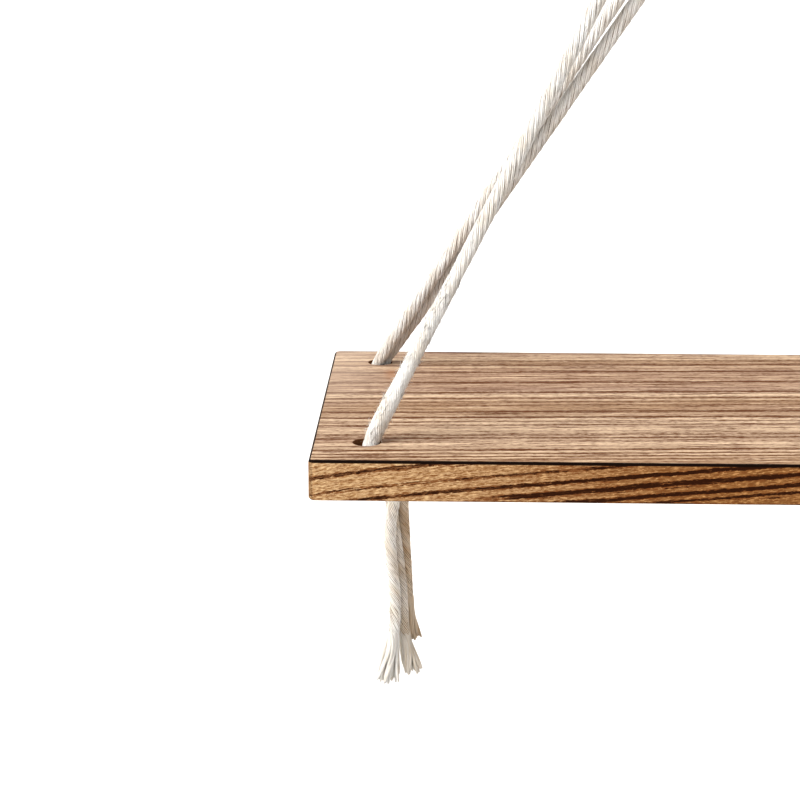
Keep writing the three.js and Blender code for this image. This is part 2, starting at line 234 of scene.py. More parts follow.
# Half the rope's thickness above each height, at the front and at the rear: it is squeezed in the
# holes and ties, and fuller where the front legs are hairy above their holes
RADII_ABOVE_BOARD = [
    (BAR_HEIGHT - 14, 2.95, 2.95), (-290, 3.25, 3.5), (-335, 3.35, 3.2), (-352, 3.7, 3.0),
]
RADII_IN_HOLE = [(-361, 3.55, 2.85), (-378, 3.2, 2.75)]
RADII_UNDER_BOARD = [(-386, 3.1, 3.1)]
RADII_BELOW = [(-408, 2.85, 2.85), (-math.inf, 3.05, 3.05)]
HOLE_REACH = 16
KNOT_RADIUS = 2.95
KNOT_STRAND_DEPTH = 0.08
# The heights between which loose fibres hide the strands of the front legs
HAIRY_HEIGHTS = [-318, -262]


def lengths_along(line):
    return np.concatenate([[0], np.cumsum(np.linalg.norm(np.diff(line, axis=0), axis=1))])


def resampled(line, step):
    along = lengths_along(line)
    wanted = np.linspace(0, along[-1], round(along[-1] / step) + 1)
    return np.stack([np.interp(wanted, along, column) for column in line.T], axis=1)


def reflected(vector, mirror):
    return vector - 2 * (mirror @ vector) / (mirror @ mirror) * mirror


def steady_frames(line):
    """Tangents and two normals at each point, turned no more than the line itself turns."""
    tangents = np.gradient(line, axis=0)
    tangents /= np.linalg.norm(tangents, axis=1)[:, None]
    seed = np.cross(tangents[0], [0, 0, 1])
    if np.linalg.norm(seed) < 0.1:
        seed = np.cross(tangents[0], [1, 0, 0])
    normals = [seed / np.linalg.norm(seed)]
    for i in range(len(line) - 1):
        chord = line[i + 1] - line[i]
        normal = reflected(normals[-1], chord)
        turn = tangents[i + 1] - reflected(tangents[i], chord)
        if turn @ turn > 1e-12:
            normal = reflected(normal, turn)
        normals.append(normal / np.linalg.norm(normal))
    normals = np.array(normals)
    return tangents, normals, np.cross(tangents, normals)


def turn_angles(count):
    return np.arange(count) / count * 2 * math.pi


def outwards(angles, normals, sides):
    """Unit vectors square to a line, at these angles between its two normals."""
    return np.cos(angles)[..., None] * normals + np.sin(angles)[..., None] * sides


def tube_rings(line, radius, count):
    """Rings of points round a line, one at each of its points."""
    _, normals, sides = steady_frames(line)
    across = outwards(turn_angles(count), normals[:, None], sides[:, None])
    return line[:, None] + np.reshape(radius, (-1, 1, 1)) * across


def smoothed(values, reach):
    kernel = np.hanning(reach + 2)[1:-1]
    padded = np.concatenate([np.full(reach, values[0]), values, np.full(reach, values[-1])])
    return np.convolve(padded, kernel / kernel.sum(), mode="same")[reach:-reach]


def slow_noise(count, reach, amount):
    even = smoothed(random_numbers.normal(0, 1, count), reach)
    return amount * even / even.std()


def rope_radius(point):
    x, y, z = point
    in_hole = min(math.dist((abs(x), y), place) for place in HOLE_PLACES) < HOLE_REACH
    middle = RADII_IN_HOLE if in_hole else RADII_UNDER_BOARD
    for height, front, rear in RADII_ABOVE_BOARD + middle + RADII_BELOW:
        if z > height:
            return front if y < 0 else rear


def strand_depth(point):
    """How deep the valleys between strands are, as a share of the radius."""
    y, z = point[1:]
    if z < -405:
        return 0.05
    if z < -350:
        return 0.07
    return float(np.interp(z, HAIRY_HEIGHTS, [0.02, 0.13])) if y < 0 else 0.13


def strand_mark(point):
    """How strongly painted valley shade and yarn relief mark the strands and yarns, from 0 to 1."""
    y, z = point[1:]
    return float(np.interp(z, HAIRY_HEIGHTS, [0.1, 1.0])) if y < 0 and z > -380 else 1.0


class Rope:
    """One whole length of rope, cut into the pieces that have a node each."""

    def __init__(self, parts, steps=16):
        self.ranges = {}
        lines = []
        reached = 0.0
        for name, points in parts:
            line = smooth_line(points, steps)
            if lines:
                reached += np.linalg.norm(line[0] - lines[-1][-1])
            start = reached
            reached += lengths_along(line)[-1]
            self.ranges[name] = (start, reached)
            lines.append(line)
        self.line = resampled(np.concatenate(lines), RING_STEP)
        self.along = lengths_along(self.line)
        self.tangents, self.normals, self.sides = steady_frames(self.line)
        count = len(self.line)
        radius = smoothed([rope_radius(p) for p in self.line], 7)
        self.radius = radius * (1 + slow_noise(count, 12, 0.012))
        self.depth = smoothed([strand_depth(p) for p in self.line], 13)
        self.mark = np.array([strand_mark(p) for p in self.line])
        tail = smoothed([float(p[2] < -400) for p in self.line], 13)
        lay = LAY_LENGTH * (1 - (1 - TAIL_LAY_SHARE) * tail) * (1 + slow_noise(count, 30, 0.05))
        self.twist = -2 * math.pi * np.cumsum(np.diff(self.along, prepend=0) / lay)

    def span(self, name):
        return [int(np.argmin(abs(self.along - length))) for length in self.ranges[name]]

    def rings(self, first, last, shrink=1.0):
        """Rings of points, with the length along the rope and the mark of each."""
        part = slice(first, last + 1)
        angles = turn_angles(RING_SIDES)
        strand = abs(np.cos(STRANDS * angles / 2)) ** 0.75
        yarn = abs(np.cos(YARNS * angles / 2)) ** 0.8
        shape = 1 - self.depth[part, None] * (1 - strand) - YARN_DEPTH * (1 - yarn)
        reach = (self.radius[part] * shrink)[:, None] * shape
        turned = angles + self.twist[part, None]
        across = outwards(turned, self.normals[part, None], self.sides[part, None])
        grid = self.line[part, None] + reach[..., None] * across
        return grid, self.along[part], self.mark[part]


def patterned_object(name, points, faces, places, strengths):
    """A smooth mesh with the map "lay" and the attribute "mark", which the cottons read."""
    mesh = bpy.data.meshes.new(name)
    mesh.from_pydata((np.array(points) * MM).tolist(), [], faces)
    layer = mesh.uv_layers.new(name="lay")
    layer.data.foreach_set("uv", np.float32(places).ravel())
    attribute = mesh.attributes.new("mark", "FLOAT", "POINT")
    attribute.data.foreach_set("value", np.float32(strengths))
    mesh.shade_smooth()
    return add_object(name, mesh)


def tube_faces(rows, sides, base=0):
    """The four-cornered faces between rings of points that are numbered from base."""
    faces = []
    for low in range(base, base + (rows - 1) * sides, sides):
        for k in range(sides):
            following = low + (k + 1) % sides
            faces.append((low + k, following, following + sides, low + k + sides))
    return faces


def grid_mesh(name, grid, along, mark=None, closed=True):
    """A tube from rings of points. Its map runs round it and along it."""
    rows, sides = grid.shape[:2]
    faces = tube_faces(rows, sides)
    places = []
    for i in range(rows - 1):
        for k in range(sides):
            places += [(k, i), (k + 1, i), (k + 1, i + 1), (k, i + 1)]
    points = list(grid.reshape(-1, 3))
    for row, order in ((0, -1), (rows - 1, 1)) if closed else ():
        centre = len(points)
        points.append(grid[row].mean(0))
        for k in range(sides):
            following = row * sides + (k + 1) % sides
            faces.append((row * sides + k, following, centre)[::order])
            places += [(k, row), (k + 1, row), (k + 0.5, row)][::order]
    places = np.array(places, float)
    places[:, 1] = np.asarray(along)[places[:, 1].astype(int)]
    mark = np.zeros(rows) if mark is None else mark
    strengths = np.full(len(points), mark[-1])
    strengths[:rows * sides] = np.repeat(mark, sides)
    return patterned_object(name, points, faces, places / (sides, LAY_LENGTH), strengths)


def joined_mesh(name, things):
    """One object from several, which are removed."""
    bpy.ops.object.select_all(action="DESELECT")
    for thing in things:
        thing.select_set(True)
    bpy.context.view_layer.objects.active = things[0]
    bpy.ops.object.join()
    whole = bpy.context.view_layer.objects.active
    whole.name = name
    whole.data.name = name
    return whole


def linear(colour):
    """A screen colour from 0 to 255 as the linear colour that a shader takes."""
    shares = [value / 255 for value in colour]
    return (*(s / 12.92 if s <= 0.04045 else ((s + 0.055) / 1.055) ** 2.4 for s in shares), 1.0)


def math_method(operation, swapped=False, **settings):
    """A method that puts a Math node after a value."""
    def method(value, other=0.0):
        pair = (other, value) if swapped else (value, other)
        return value.paint.math(operation, *pair, **settings)
    return method


class Value:
    """An output of a shader node, with which the usual signs work."""

    __add__ = math_method("ADD")
    __sub__ = math_method("SUBTRACT")
    __rsub__ = math_method("SUBTRACT", swapped=True)
    __mul__ = math_method("MULTIPLY")
    __truediv__ = math_method("DIVIDE")
    __pow__ = math_method("POWER")
    __abs__ = math_method("ABSOLUTE")
    maximum = math_method("MAXIMUM")
    clamped = math_method("ADD", use_clamp=True)

    def __init__(self, paint, socket):
        self.paint = paint
        self.socket = socket

    def step(self, low, high):
        """0 below low and 1 above high, smooth between."""
        values = {"Value": self, "From Min": low, "From Max": high}
        return self.paint.node("MapRange", "Result", values, interpolation_type="SMOOTHSTEP")

    def fall(self, low, high):
        """1 below low and 0 above high, smooth between."""
        return 1.0 - self.step(low, high)


class Paint:
    """Short names for the shader nodes of one new material or world."""

    def __init__(self, name, kind="materials"):
        self.owner = getattr(bpy.data, kind).new(name)
        self.owner.use_nodes = True
        self.tree = self.owner.node_tree
        self.shader = self.tree.nodes.get("Principled BSDF") or self.tree.nodes["Background"]

    def put(self, socket, value):
        if isinstance(value, Value):
            self.tree.links.new(value.socket, socket)
        else:
            socket.default_value = value

    def node(self, kind, output=0, values=None, **settings):
        """An output of a new node; values are those of its inputs, by name or number."""
        node = self.tree.nodes.new("ShaderNode" + kind)
        for name, setting in settings.items():
            setattr(node, name, setting)
        for name, value in (values or {}).items():
            self.put(node.inputs[name], value)
        return Value(self, node.outputs[output])

    def math(self, operation, *values, **settings):
        return self.node("Math", 0, dict(enumerate(values)), operation=operation, **settings)

    def split(self, vector):
        return [self.node("SeparateXYZ", k, {0: vector}) for k in range(3)]

    def scaled(self, vector, scale):
        return self.node("Mapping", 0, {"Vector": vector, "Scale": scale})

    def noise(self, vector, detail=2, roughness=0.5, scale=1.0):
        return self.node("TexNoise", "Fac", {
            "Vector": vector, "Scale": scale, "Detail": detail, "Roughness": roughness,
        })

    def grain(self, first, second, third=0.0):
        """Noise over two values as a function of how fine it is along each of them."""
        def along(first_scale, second_scale, detail=2, roughness=0.5):
            place = {0: first * first_scale, 1: second * second_scale, 2: third}
            return self.noise(self.node("CombineXYZ", 0, place), detail, roughness)
        return along

    def ramp(self, value, stops):
        """A ramp over a value from (value, colour) pairs that rise; a number stands for a grey."""
        low, reach = stops[0][0], stops[-1][0] - stops[0][0]
        result = self.node("ValToRGB", "Color", {0: (value - low) / reach})
        elements = result.socket.node.color_ramp.elements
        elements.remove(elements[-1])
        for index, (place, colour) in enumerate(stops):
            element = elements.new(1.0) if index else elements[0]
            element.position = (place - low) / reach
            element.color = linear(colour) if isinstance(colour, tuple) else (*[colour] * 3, 1)
        return result

    def mix(self, share, *colours):
        """A colour between two, given as screen colours or from other nodes."""
        first, second = (linear(c) if isinstance(c, tuple) else c for c in colours)
        return self.node("Mix", 2, {0: share, 6: first, 7: second}, data_type="RGBA")

    def bump(self, height, distance, strength):
        return self.node(
            "Bump", "Normal", {"Strength": strength, "Distance": distance, "Height": height}
        )

    def surface(self, **values):
        for name, value in values.items():
            self.put(self.shader.inputs[name.replace("_", " ")], value)
        return self.owner


def cotton_material(name, light, shade, deep, valley_shade_share, gap_shade_share):
    """Undyed cotton: strands and yarns with painted shade in their valleys, and soft fibres."""
    paint = Paint(name)
    u, v, _ = paint.split(paint.node("UVMap", "UV", uv_map="lay"))
    mark = paint.node("Attribute", "Fac", attribute_name="mark")
    cloth = paint.grain(u, v)
    wander = cloth(7.0, 6.0) - 0.5
    strand = abs(paint.math("COSINE", u * (STRANDS * math.pi) + wander * 0.9))
    yarn = abs(paint.math("COSINE", u * (YARNS * math.pi) + wander * 3.0))
    fibre = cloth(110.0, 11.0, 3, 0.65)
    tuft = cloth(30.0, 5.0, 2, 0.6)
    valley = strand.fall(0.0, 0.42)
    gap = yarn.fall(0.05, 0.7)
    uneven = tuft.step(0.3, 0.68) * 1.3 + 0.15
    # Painted shade in the valleys between strands and in the gaps between yarns, broken into
    # strokes; the fibres add their own uneven tone
    dark = (valley * valley_shade_share + gap * gap_shade_share) * uneven * mark
    dark = dark + (tuft - 0.5) * 0.9 + (fibre - 0.5) * 0.35
    colour = paint.mix(cloth(2.0, 2.4).step(0.35, 0.7), light, shade)
    height = yarn * mark * 0.5 + fibre * 0.8 + tuft * 1.2
    # The painted shade takes the colour deep
    return paint.surface(
        Base_Color=paint.mix(dark.clamped(), colour, deep), Roughness=0.95,
        Normal=paint.bump(height, 0.0007, 0.9), Subsurface_Weight=0.03, Subsurface_Scale=0.001,
        Subsurface_Radius=(1.0, 0.75, 0.5), Sheen_Weight=0.05, Sheen_Roughness=0.5,
        Specular_IOR_Level=0.15,
    )


# Each cotton: two tones, the colour of its painted valley shade, and how much painted shade its
# valleys and yarn gaps take
COTTONS = {
    "cotton": [(240, 238, 234), (226, 218, 207), (116, 94, 72), 0.6, 0.4],
    "cotton_tail": [(240, 233, 222), (220, 205, 184), (96, 72, 50), 0.25, 1.2],
    # The front tail's cotton is a lighter copy for painted light; the rear tail's is a tanner copy
    # for painted shade
    "cotton_front_tail_painted_light": [(250, 248, 243), (232, 221, 205), (110, 86, 62), 0.25, 1.2],
    "cotton_rear_tail_painted_shade": [(228, 210, 186), (198, 168, 134), (88, 62, 40), 0.25, 1.2],
}
cottons = {name: cotton_material(name, *facts) for name, facts in COTTONS.items()}

# The loose yarns of a frayed end: they fill YARN_FILL of the rope's radius
YARN_RADIUS = 0.85
YARN_COUNT = 30
YARN_SIDES = 6
YARN_FILL = 0.84
YARN_TAPER = [0, 0.1, 0.85, 1], [0.7, 1, 1, 0.55]
GOLDEN_ANGLE = math.pi * (3 - math.sqrt(5))


def frayed_yarns(rope, start, end, clumps, seed):
    """Loose yarns from one ring of the rope to the ring at its tip, each with how far it strays
    from the middle of the rope."""
    numbers = np.random.default_rng(seed)
    way = 1 if end > start else -1
    rows = np.arange(start, end + way, way)
    twist = rope.twist[start]
    found = []
    for k in range(YARN_COUNT):
        angle = k * GOLDEN_ANGLE
        reach = rope.radius[start] * YARN_FILL * math.sqrt((k + 0.5) / YARN_COUNT)
        if k % 4 == 0:
            clump = clumps[int(numbers.integers(len(clumps)))]
        else:
            place = reach * outwards(angle + twist, rope.normals[start], rope.sides[start])
            clump = min(clumps, key=lambda c: math.dist((c[0] * 0.4, c[1] * 0.4), place[:2]))
        stop, lean = 0.84 + 0.16 * numbers.random(), 1.0
        if k % 3 == 0:
            stop, lean = 1.0, 0.45
        wave_x, wave_y = numbers.normal(0, 0.35, 2) * lean
        phase = numbers.random() * 6
        here = rows[:max(6, int(len(rows) * stop))]
        t = np.arange(len(here)) / (len(rows) - 1)
        loosened = angle + twist + (rope.twist[here] - twist) * (1 - t) ** 2
        across = outwards(loosened, rope.normals[here], rope.sides[here])
        sway = np.stack([
            lean * clump[0] * t**1.7 + wave_x * t * np.sin(phase + 5 * t),
            lean * clump[1] * t**1.7 + wave_y * t * np.cos(phase + 4 * t),
            0 * t,
        ], axis=1)
        stray = (reach * (1 + 0.15 * t))[:, None] * across + sway
        taper = np.interp(np.linspace(0, 1, len(here)), *YARN_TAPER)
        radius = YARN_RADIUS * (0.9 + 0.25 * numbers.random()) * taper
        farthest = float(np.linalg.norm(stray, axis=1).max() + YARN_RADIUS)
        found.append((tube_rings(rope.line[here] + stray, radius, YARN_SIDES), farthest))
    return found


HAIR_RADIUS = 0.1
HAIR_SIDES = 3
HAIR_POINTS = 5
# Hairs are longer and thicker where a ring has more of them than this
HAIRY = 5


def hairs_per_ring(point):
    """How many loose fibres stand out of one ring of the rope."""
    y, z = point[1:]
    if y < 0 and -357 < z < -285:
        return 8.5
    if z < -405:
        return 1.6
    return 0.0 if z < -356 or z > -110 else 0.9


def fuzz(name, rope, first, last):
    """Loose fibres that leave the rope's surface and lie along it, as one mesh."""
    numbers = np.random.default_rng(sum(map(ord, name)))
    points = []
    faces = []
    angles = turn_angles(HAIR_SIDES)
    t = np.linspace(0, 1, HAIR_POINTS)[:, None, None]
    for i in range(first + 2, last - 1):
        wanted = hairs_per_ring(rope.line[i])
        for _ in range(int(wanted) + (numbers.random() < wanted % 1)):
            out = outwards(numbers.random() * 2 * math.pi, rope.normals[i], rope.sides[i])
            way = rope.tangents[i] * numbers.choice([-1, 1])
            beside = np.cross(out, way)
            side = beside * numbers.normal(0, 0.45)
            length = numbers.uniform(1.8, 4.6)
            lift = numbers.uniform(0.25, 0.62) * min(length, 2.6)
            thick = HAIR_RADIUS * numbers.uniform(0.7, 1.5)
            if wanted > HAIRY:
                lift *= 1.35
                thick *= 1.25
            middle = (
                rope.line[i] + out * (rope.radius[i] * 0.93 + lift * t**1.4)
                + way * length * t * (1 - 0.25 * t) + side * length * 0.5 * t**2
            )
            base = len(points)
            rings = middle + thick * (1 - 0.75 * t) * outwards(angles, out, beside)
            points.extend(rings.reshape(-1, 3))
            faces += tube_faces(HAIR_POINTS, HAIR_SIDES, base)
            top = len(points) - HAIR_SIDES
            faces += [(top, top + 1, top + 2), (base + 2, base + 1, base)]
    if not points:
        return []
    places = numbers.random(2 * sum(map(len, faces)))
    return [patterned_object(name + "_fuzz", points, faces, places, np.zeros(len(points)))]


left_turns = bar_turns(-OUTER_TURNS_OFFSET, OUTER_TURNS, -1, FRONT_LEG, REAR_OUTER_LEG)
middle_turns = bar_turns(0, MIDDLE_TURNS, 1, REAR_INNER_LEG, REAR_INNER_RIGHT_TOP)
outer_parts = [
    ("front_tail", FRONT_TAIL[::-1]),
    ("front_leg", FRONT_LEG[::-1]),
    ("rope_turns", left_turns),
    ("rear_outer_leg", REAR_OUTER_LEG),
    ("rear_outer_tail", REAR_OUTER_TAIL),
]
ropes = [
    Rope([(name + "_left", route) for name, route in outer_parts]),
    Rope([
        ("rear_inner_tail_left", REAR_INNER_TAIL[::-1]),
        ("rear_inner_leg_left", REAR_INNER_LEG[::-1]),
        ("rope_turns_middle", middle_turns),
        ("rear_inner_leg_right", [
            *REAR_INNER_RIGHT_TOP, *mirrored(REAR_INNER_LEG[len(REAR_INNER_RIGHT_TOP):])
        ]),
        ("rear_inner_tail_right", mirrored(REAR_INNER_TAIL)),
    ]),
    Rope([(name + "_right", mirrored(route)) for name, route in outer_parts]),
]

# Each tail's cotton, the millimetres that are frayed, and where its clumps of yarn lean
TAILS = {
    "front_tail": ("cotton_front_tail_painted_light", 24, [(-4.4, 0.2), (-1.7, -0.7), (0.9, 0.6), (3.4, 0.3)]),
    "rear_outer_tail": ("cotton_tail", 17, [(4.6, -0.5), (2.0, 0.6), (-1.0, -0.6)]),
    "rear_inner_tail": ("cotton_rear_tail_painted_shade", 20, [(1.8, 0.4), (-0.6, -0.4)]),
}
# How the twisted rope narrows into its loose yarns, and how many rings before its end they begin
NARROWING = [0.97, 0.93, 0.86, 0.74, 0.5]
YARN_OVERLAP = 4
YARN_MAP_SHIFT = 11.3
YARN_SEEDS = {1: 100, -1: 200}
# A yarn that strays further from its rope's middle than this belongs to the fringe beside it
CORD_REACH = 5.6


def give(thing, material):
    thing.data.materials.clear()
    thing.data.materials.append(material)


def finish_piece(thing, material, node=None, body="shelf"):
    give(thing, material)
    if node:
        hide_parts(node)
    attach(thing, body)
    return thing


def declare_cord(rope, name):
    """Works out a piece's middle line from the top down, and its length, and keeps neither."""
    first, last = rope.span(name)
    path = rope.line[first:last + 1] * MM
    path = path if path[0][2] > path[-1][2] else path[::-1]
    float(lengths_along(path)[-1])


def build_leg_or_turns(name, rope):
    span = rope.span(name)
    made = [grid_mesh(name + "_strands", *rope.rings(*span))]
    if "leg" in name:
        made += fuzz(name, rope, *span)
    thing = finish_piece(joined_mesh(name + "_rope", made), cottons["cotton"], name)
    if "leg" in name:
        declare_cord(rope, name)


def build_tail(name, rope, number):
    """Twisted rope down to a neck, and loose yarns from there to the tip."""
    family, side = name.rsplit("_", 1)
    cloth, frayed, clumps = TAILS[family]
    if side == "right":
        clumps = [(-x, y) for x, y in clumps]
    first, last = rope.span(name)
    way = 1 if rope.line[last][2] < rope.line[first][2] else -1
    top, tip = (first, last)[::way]
    neck = tip - way * round(frayed / RING_STEP)
    yarns = frayed_yarns(rope, neck - way * YARN_OVERLAP, tip, clumps, YARN_SEEDS[way] + number)
    shrink = np.ones(abs(neck - top) + 1)
    shrink[-len(NARROWING):] = NARROWING
    twisted = (top, neck)[::way]
    near = [grid_mesh(name + "_body", *rope.rings(*twisted, shrink[::way]))]
    near += fuzz(name, rope, *twisted)
    far = []
    for index, (yarn, farthest) in enumerate(yarns):
        lengths = np.arange(len(yarn)) * RING_STEP + index * YARN_MAP_SHIFT
        tube = grid_mesh(f"{name}_yarn_{index}", yarn, lengths)
        (near if farthest < CORD_REACH else far).append(tube)
    thing = finish_piece(joined_mesh(name + "_rope", near), cottons[cloth], name)
    company = [finish_piece(joined_mesh(name + "_fringe", far), cottons[cloth])] if far else []
    declare_cord(rope, name)


for number, rope in enumerate(ropes):
    for name in rope.ranges:
        if "tail" in name:
            build_tail(name, rope, number)
        else:
            build_leg_or_turns(name, rope)

for side, name in [(-1, "gathering_knot_left"), (1, "gathering_knot_right")]:
    knot = Rope([(name, knot_turns(side))], 4)
    knot.radius[:] = KNOT_RADIUS
    knot.depth[:] = KNOT_STRAND_DEPTH
    tie = grid_mesh(name + "_rope", *knot.rings(0, len(knot.line) - 1))
    finish_piece(tie, cottons["cotton_tail"], name)


EDGE_RADIUS = 1.2
CORNER_RADIUS = 3
CAP_INSET = 3.0
HOLE_RADIUS = 6
UNDER_ROUNDING = 3
TOP_ROUNDING = 0.35
CORNER_STEPS = 6
DEPTH_PIECES = 32
LENGTH_PIECES = 62
# How far a hole's cutter stands out of the board
CUTTER_OVERRUN = 5


def quarter(steps):
    """Sine and cosine pairs over a quarter of a turn."""
    angles = [math.pi / 2 * i / steps for i in range(steps + 1)]
    return [(math.sin(angle), math.cos(angle)) for angle in angles]


def wall_profile(start, lower, upper, upper_steps=5):
    """(distance, height) pairs up a wall of the board, rounded at its lower and upper ends."""
    return [
        (start + lower * (1 - s), PLANK_UNDERSIDE + lower * (1 - c)) for s, c in quarter(5)
    ] + [
        (start + upper * (1 - c), PLANK_TOP - upper * (1 - s)) for s, c in quarter(upper_steps)
    ]


def slab_outline(inset):
    """Points round the slab, close enough together along its sides for its small unevenness."""
    radius = max(0.4, CORNER_RADIUS - inset)
    reach_x = PLANK_LENGTH / 2 - inset - radius
    reach_y = PLANK_DEPTH / 2 - inset - radius
    corners = []
    for side_x, side_y, start in [(1, -1, -90), (1, 1, 0), (-1, 1, 90), (-1, -1, 180)]:
        corners.append([
            (side_x * reach_x + radius * math.cos(a), side_y * reach_y + radius * math.sin(a))
            for a in np.radians(np.linspace(start, start + 90, CORNER_STEPS + 1))
        ])
    points = []
    for k, corner in enumerate(corners):
        pieces = LENGTH_PIECES if k % 2 else DEPTH_PIECES
        side = np.linspace(corner[-1], corners[(k + 1) % 4][0], pieces + 1)
        points += [*corner, *side[1:-1]]
    return points


def unevenness(x, y):
    """How far the planed and sanded edge stands back at a place, in millimetres."""
    return 0.10 + 0.06 * math.sin(x * 0.061 + 1.3) + 0.05 * math.sin(y * 0.083 + x * 0.024)


def closed_solid(name, rings):
    """A solid from rings of points in millimetres. A ring of one point is a tip."""
    mesh = bmesh.new()
    rows = [[mesh.verts.new([c * MM for c in p]) for p in ring] for ring in rings]
    for lower, upper in zip(rows, rows[1:]):
        for k in range(max(len(lower), len(upper))):
            turns = ((lower, k), (lower, k + 1), (upper, k + 1), (upper, k))
            corners = [row[i % len(row)] for row, i in turns]
            mesh.faces.new(list(dict.fromkeys(corners)))
    for cap in (rows[0][::-1], rows[-1]):
        if len(cap) > 1:
            mesh.faces.new(cap)
    bmesh.ops.recalc_face_normals(mesh, faces=mesh.faces)
    data = bpy.data.meshes.new(name)
    mesh.to_mesh(data)
    mesh.free()
    return add_object(name, data)


def build_slab():
    edge = wall_profile(0, EDGE_RADIUS, EDGE_RADIUS)
    rings = []
    for inset, height in [(CAP_INSET, PLANK_UNDERSIDE), *edge, (CAP_INSET, PLANK_TOP)]:
        ring = []
        for x, y in slab_outline(inset):
            back = unevenness(x, y) if 0 < inset < CAP_INSET else 0.0
            x, y = x * (1 - 2 * back / PLANK_LENGTH), y * (1 - 2 * back / PLANK_DEPTH)
            ring.append((x, y, height))
        rings.append(ring)
    return closed_solid("plank_board", rings)


def turned_object(name, profile, segments, place=(0, 0)):
    """A closed solid from (radius, height) pairs that start and end on the axis."""
    rings = []
    for radius, height in profile:
        rings.append([
            (place[0] + radius * math.cos(a), place[1] + radius * math.sin(a), height)
            for a in (turn_angles(segments) if radius else [0.0])
        ])
    return closed_solid(name, rings)


def apply_modifiers(thing):
    bpy.context.view_layer.update()
    shaped = thing.evaluated_get(bpy.context.evaluated_depsgraph_get())
    finished = bpy.data.meshes.new_from_object(shaped)
    thing.modifiers.clear()
    thing.data = finished
    return thing


def crisp(thing, angle=38):
    """Smooth shading that stays flat across the large faces and sharp at real corners."""
    thing.data.shade_smooth()
    thing.data.set_sharp_from_angle(angle=math.radians(angle))
    modifier = thing.modifiers.new("flat_faces", "WEIGHTED_NORMAL")
    modifier.keep_sharp = True
    modifier.weight = 100
    return apply_modifiers(thing)


def build_plank():
    board = build_slab()
    bottom, top = PLANK_UNDERSIDE - CUTTER_OVERRUN, PLANK_TOP + CUTTER_OVERRUN
    profile = [
        (0, bottom), (HOLE_RADIUS + UNDER_ROUNDING, bottom),
        *wall_profile(HOLE_RADIUS, UNDER_ROUNDING, TOP_ROUNDING, 3),
        (HOLE_RADIUS + TOP_ROUNDING, top), (0, top),
    ]
    cutters = [
        turned_object("cutter", profile, 72, (side * x, y))
        for side in (-1, 1) for x, y in HOLE_PLACES
    ]
    for cutter in cutters:
        modifier = board.modifiers.new("hole", "BOOLEAN")
        modifier.operation = "DIFFERENCE"
        modifier.solver = "EXACT"
        modifier.object = cutter
    apply_modifiers(board)
    for cutter in cutters:
        bpy.data.objects.remove(cutter)
    return crisp(board)


# Where the photograph shows the grain lines of the top: rows of the picture at the column
# GRAIN_COLUMN, each with its strength, which is below 0 for a dark line
GRAIN_COLUMN = 420
GRAIN_ROWS = [
    (360.0, 0.5), (361.5, -0.6), (365.5, -0.85), (367.5, 0.5), (372.4, -1.0), (382.7, -1.0),
    (392.7, -1.0), (396.0, 0.85), (398.8, -0.8), (400.3, 0.5), (402.2, -0.55), (405.7, -0.45),
    (412.0, -0.95), (417.7, -0.95), (419.7, 0.9), (421.8, -0.55), (423.4, 0.6), (425.2, -0.65),
    (430.0, 0.5), (435.0, -0.6), (438.4, -0.7), (442.4, -0.4), (444.0, 0.8), (450.5, -0.9),
    (452.2, 0.7), (453.9, -0.8), (455.4, 0.7), (456.8, -0.85), (458.3, 0.6), (459.6, -0.5),
]
TOP_GRAIN_SLOPE = 0.05
TOP_GRAIN_LEAN = 0.55
GRAIN_HALF_WIDTH = 2.8
LINES_IN_ONE_RAMP = 8
BODY_ROWS = [
    (353, "dull"), (357, "pale"), (364, "warm"), (372, "rosy"), (386, "rosy"), (389, "mauve"),
    (394, "pale"), (402, "warm"), (411, "warm"), (420, "pale"), (446, "pale"), (459, "warm"),
]
BODY_COLOURS = {
    "dull": (138, 108, 88), "pale": (184, 156, 129), "warm": (162, 130, 100),
    "rosy": (164, 133, 108), "mauve": (150, 119, 99),
}
# The streaks of the front face, each by one point on it in the picture, with its strength and
# half its width in millimetres; the late ones begin only in the right half
FRONT_STREAKS = [(366.0, 471.0, 0.95, 0.8), (394.0, 485.0, 0.75, 0.6), (460.0, 490.7, 1.0, 0.75)]
LATE_STREAKS = [(576.0, 491.9, 1.0, 0.95), (618.0, 498.9, 1.0, 0.8), (667.0, 502.5, 0.9, 0.6)]
STREAK_MARGIN = 4
FRONT_GRAIN_SLOPE = 0.092
FRONT_GRAIN_LIFT = 2.6
FRONT_GRAIN_TURN = 20.0
# The orange-brown painted shade beside the rear hole, and half its length and depth
SHADE_PATCH_PIXEL = (391, 374)
SHADE_PATCH_REACH = (4.5, 17.0)


def grain_place(row):
    """Where a row of the picture at the grain column lies across the grain of the top."""
    point = pixel_on_plane(GRAIN_COLUMN, row, 2, PLANK_TOP)
    return point[1] - TOP_GRAIN_SLOPE * point[0]


def thin_lines(paint, across):
    """The strength of the grain lines of the top: dark below 0, cream above 0."""
    lines = sorted((grain_place(row), strength) for row, strength in GRAIN_ROWS)
    half = GRAIN_HALF_WIDTH
    total = 0.0
    for first in range(0, len(lines), LINES_IN_ONE_RAMP):
        part = lines[first:first + LINES_IN_ONE_RAMP]
        stops = [(part[0][0] - 2 * half, 0.5)]
        before = -math.inf
        for place, strength in part:
            if place - before > 2 * half:
                stops.append((place - half, 0.5))
            else:
                stops[-1] = ((place + before) / 2, 0.5)
            stops += [(place, 0.5 + 0.5 * strength), (place + half, 0.5)]
            before = place
        stops.append((before + 2 * half, 0.5))
        total = (paint.ramp(across, stops) - 0.5) * 2.0 + total
    return total


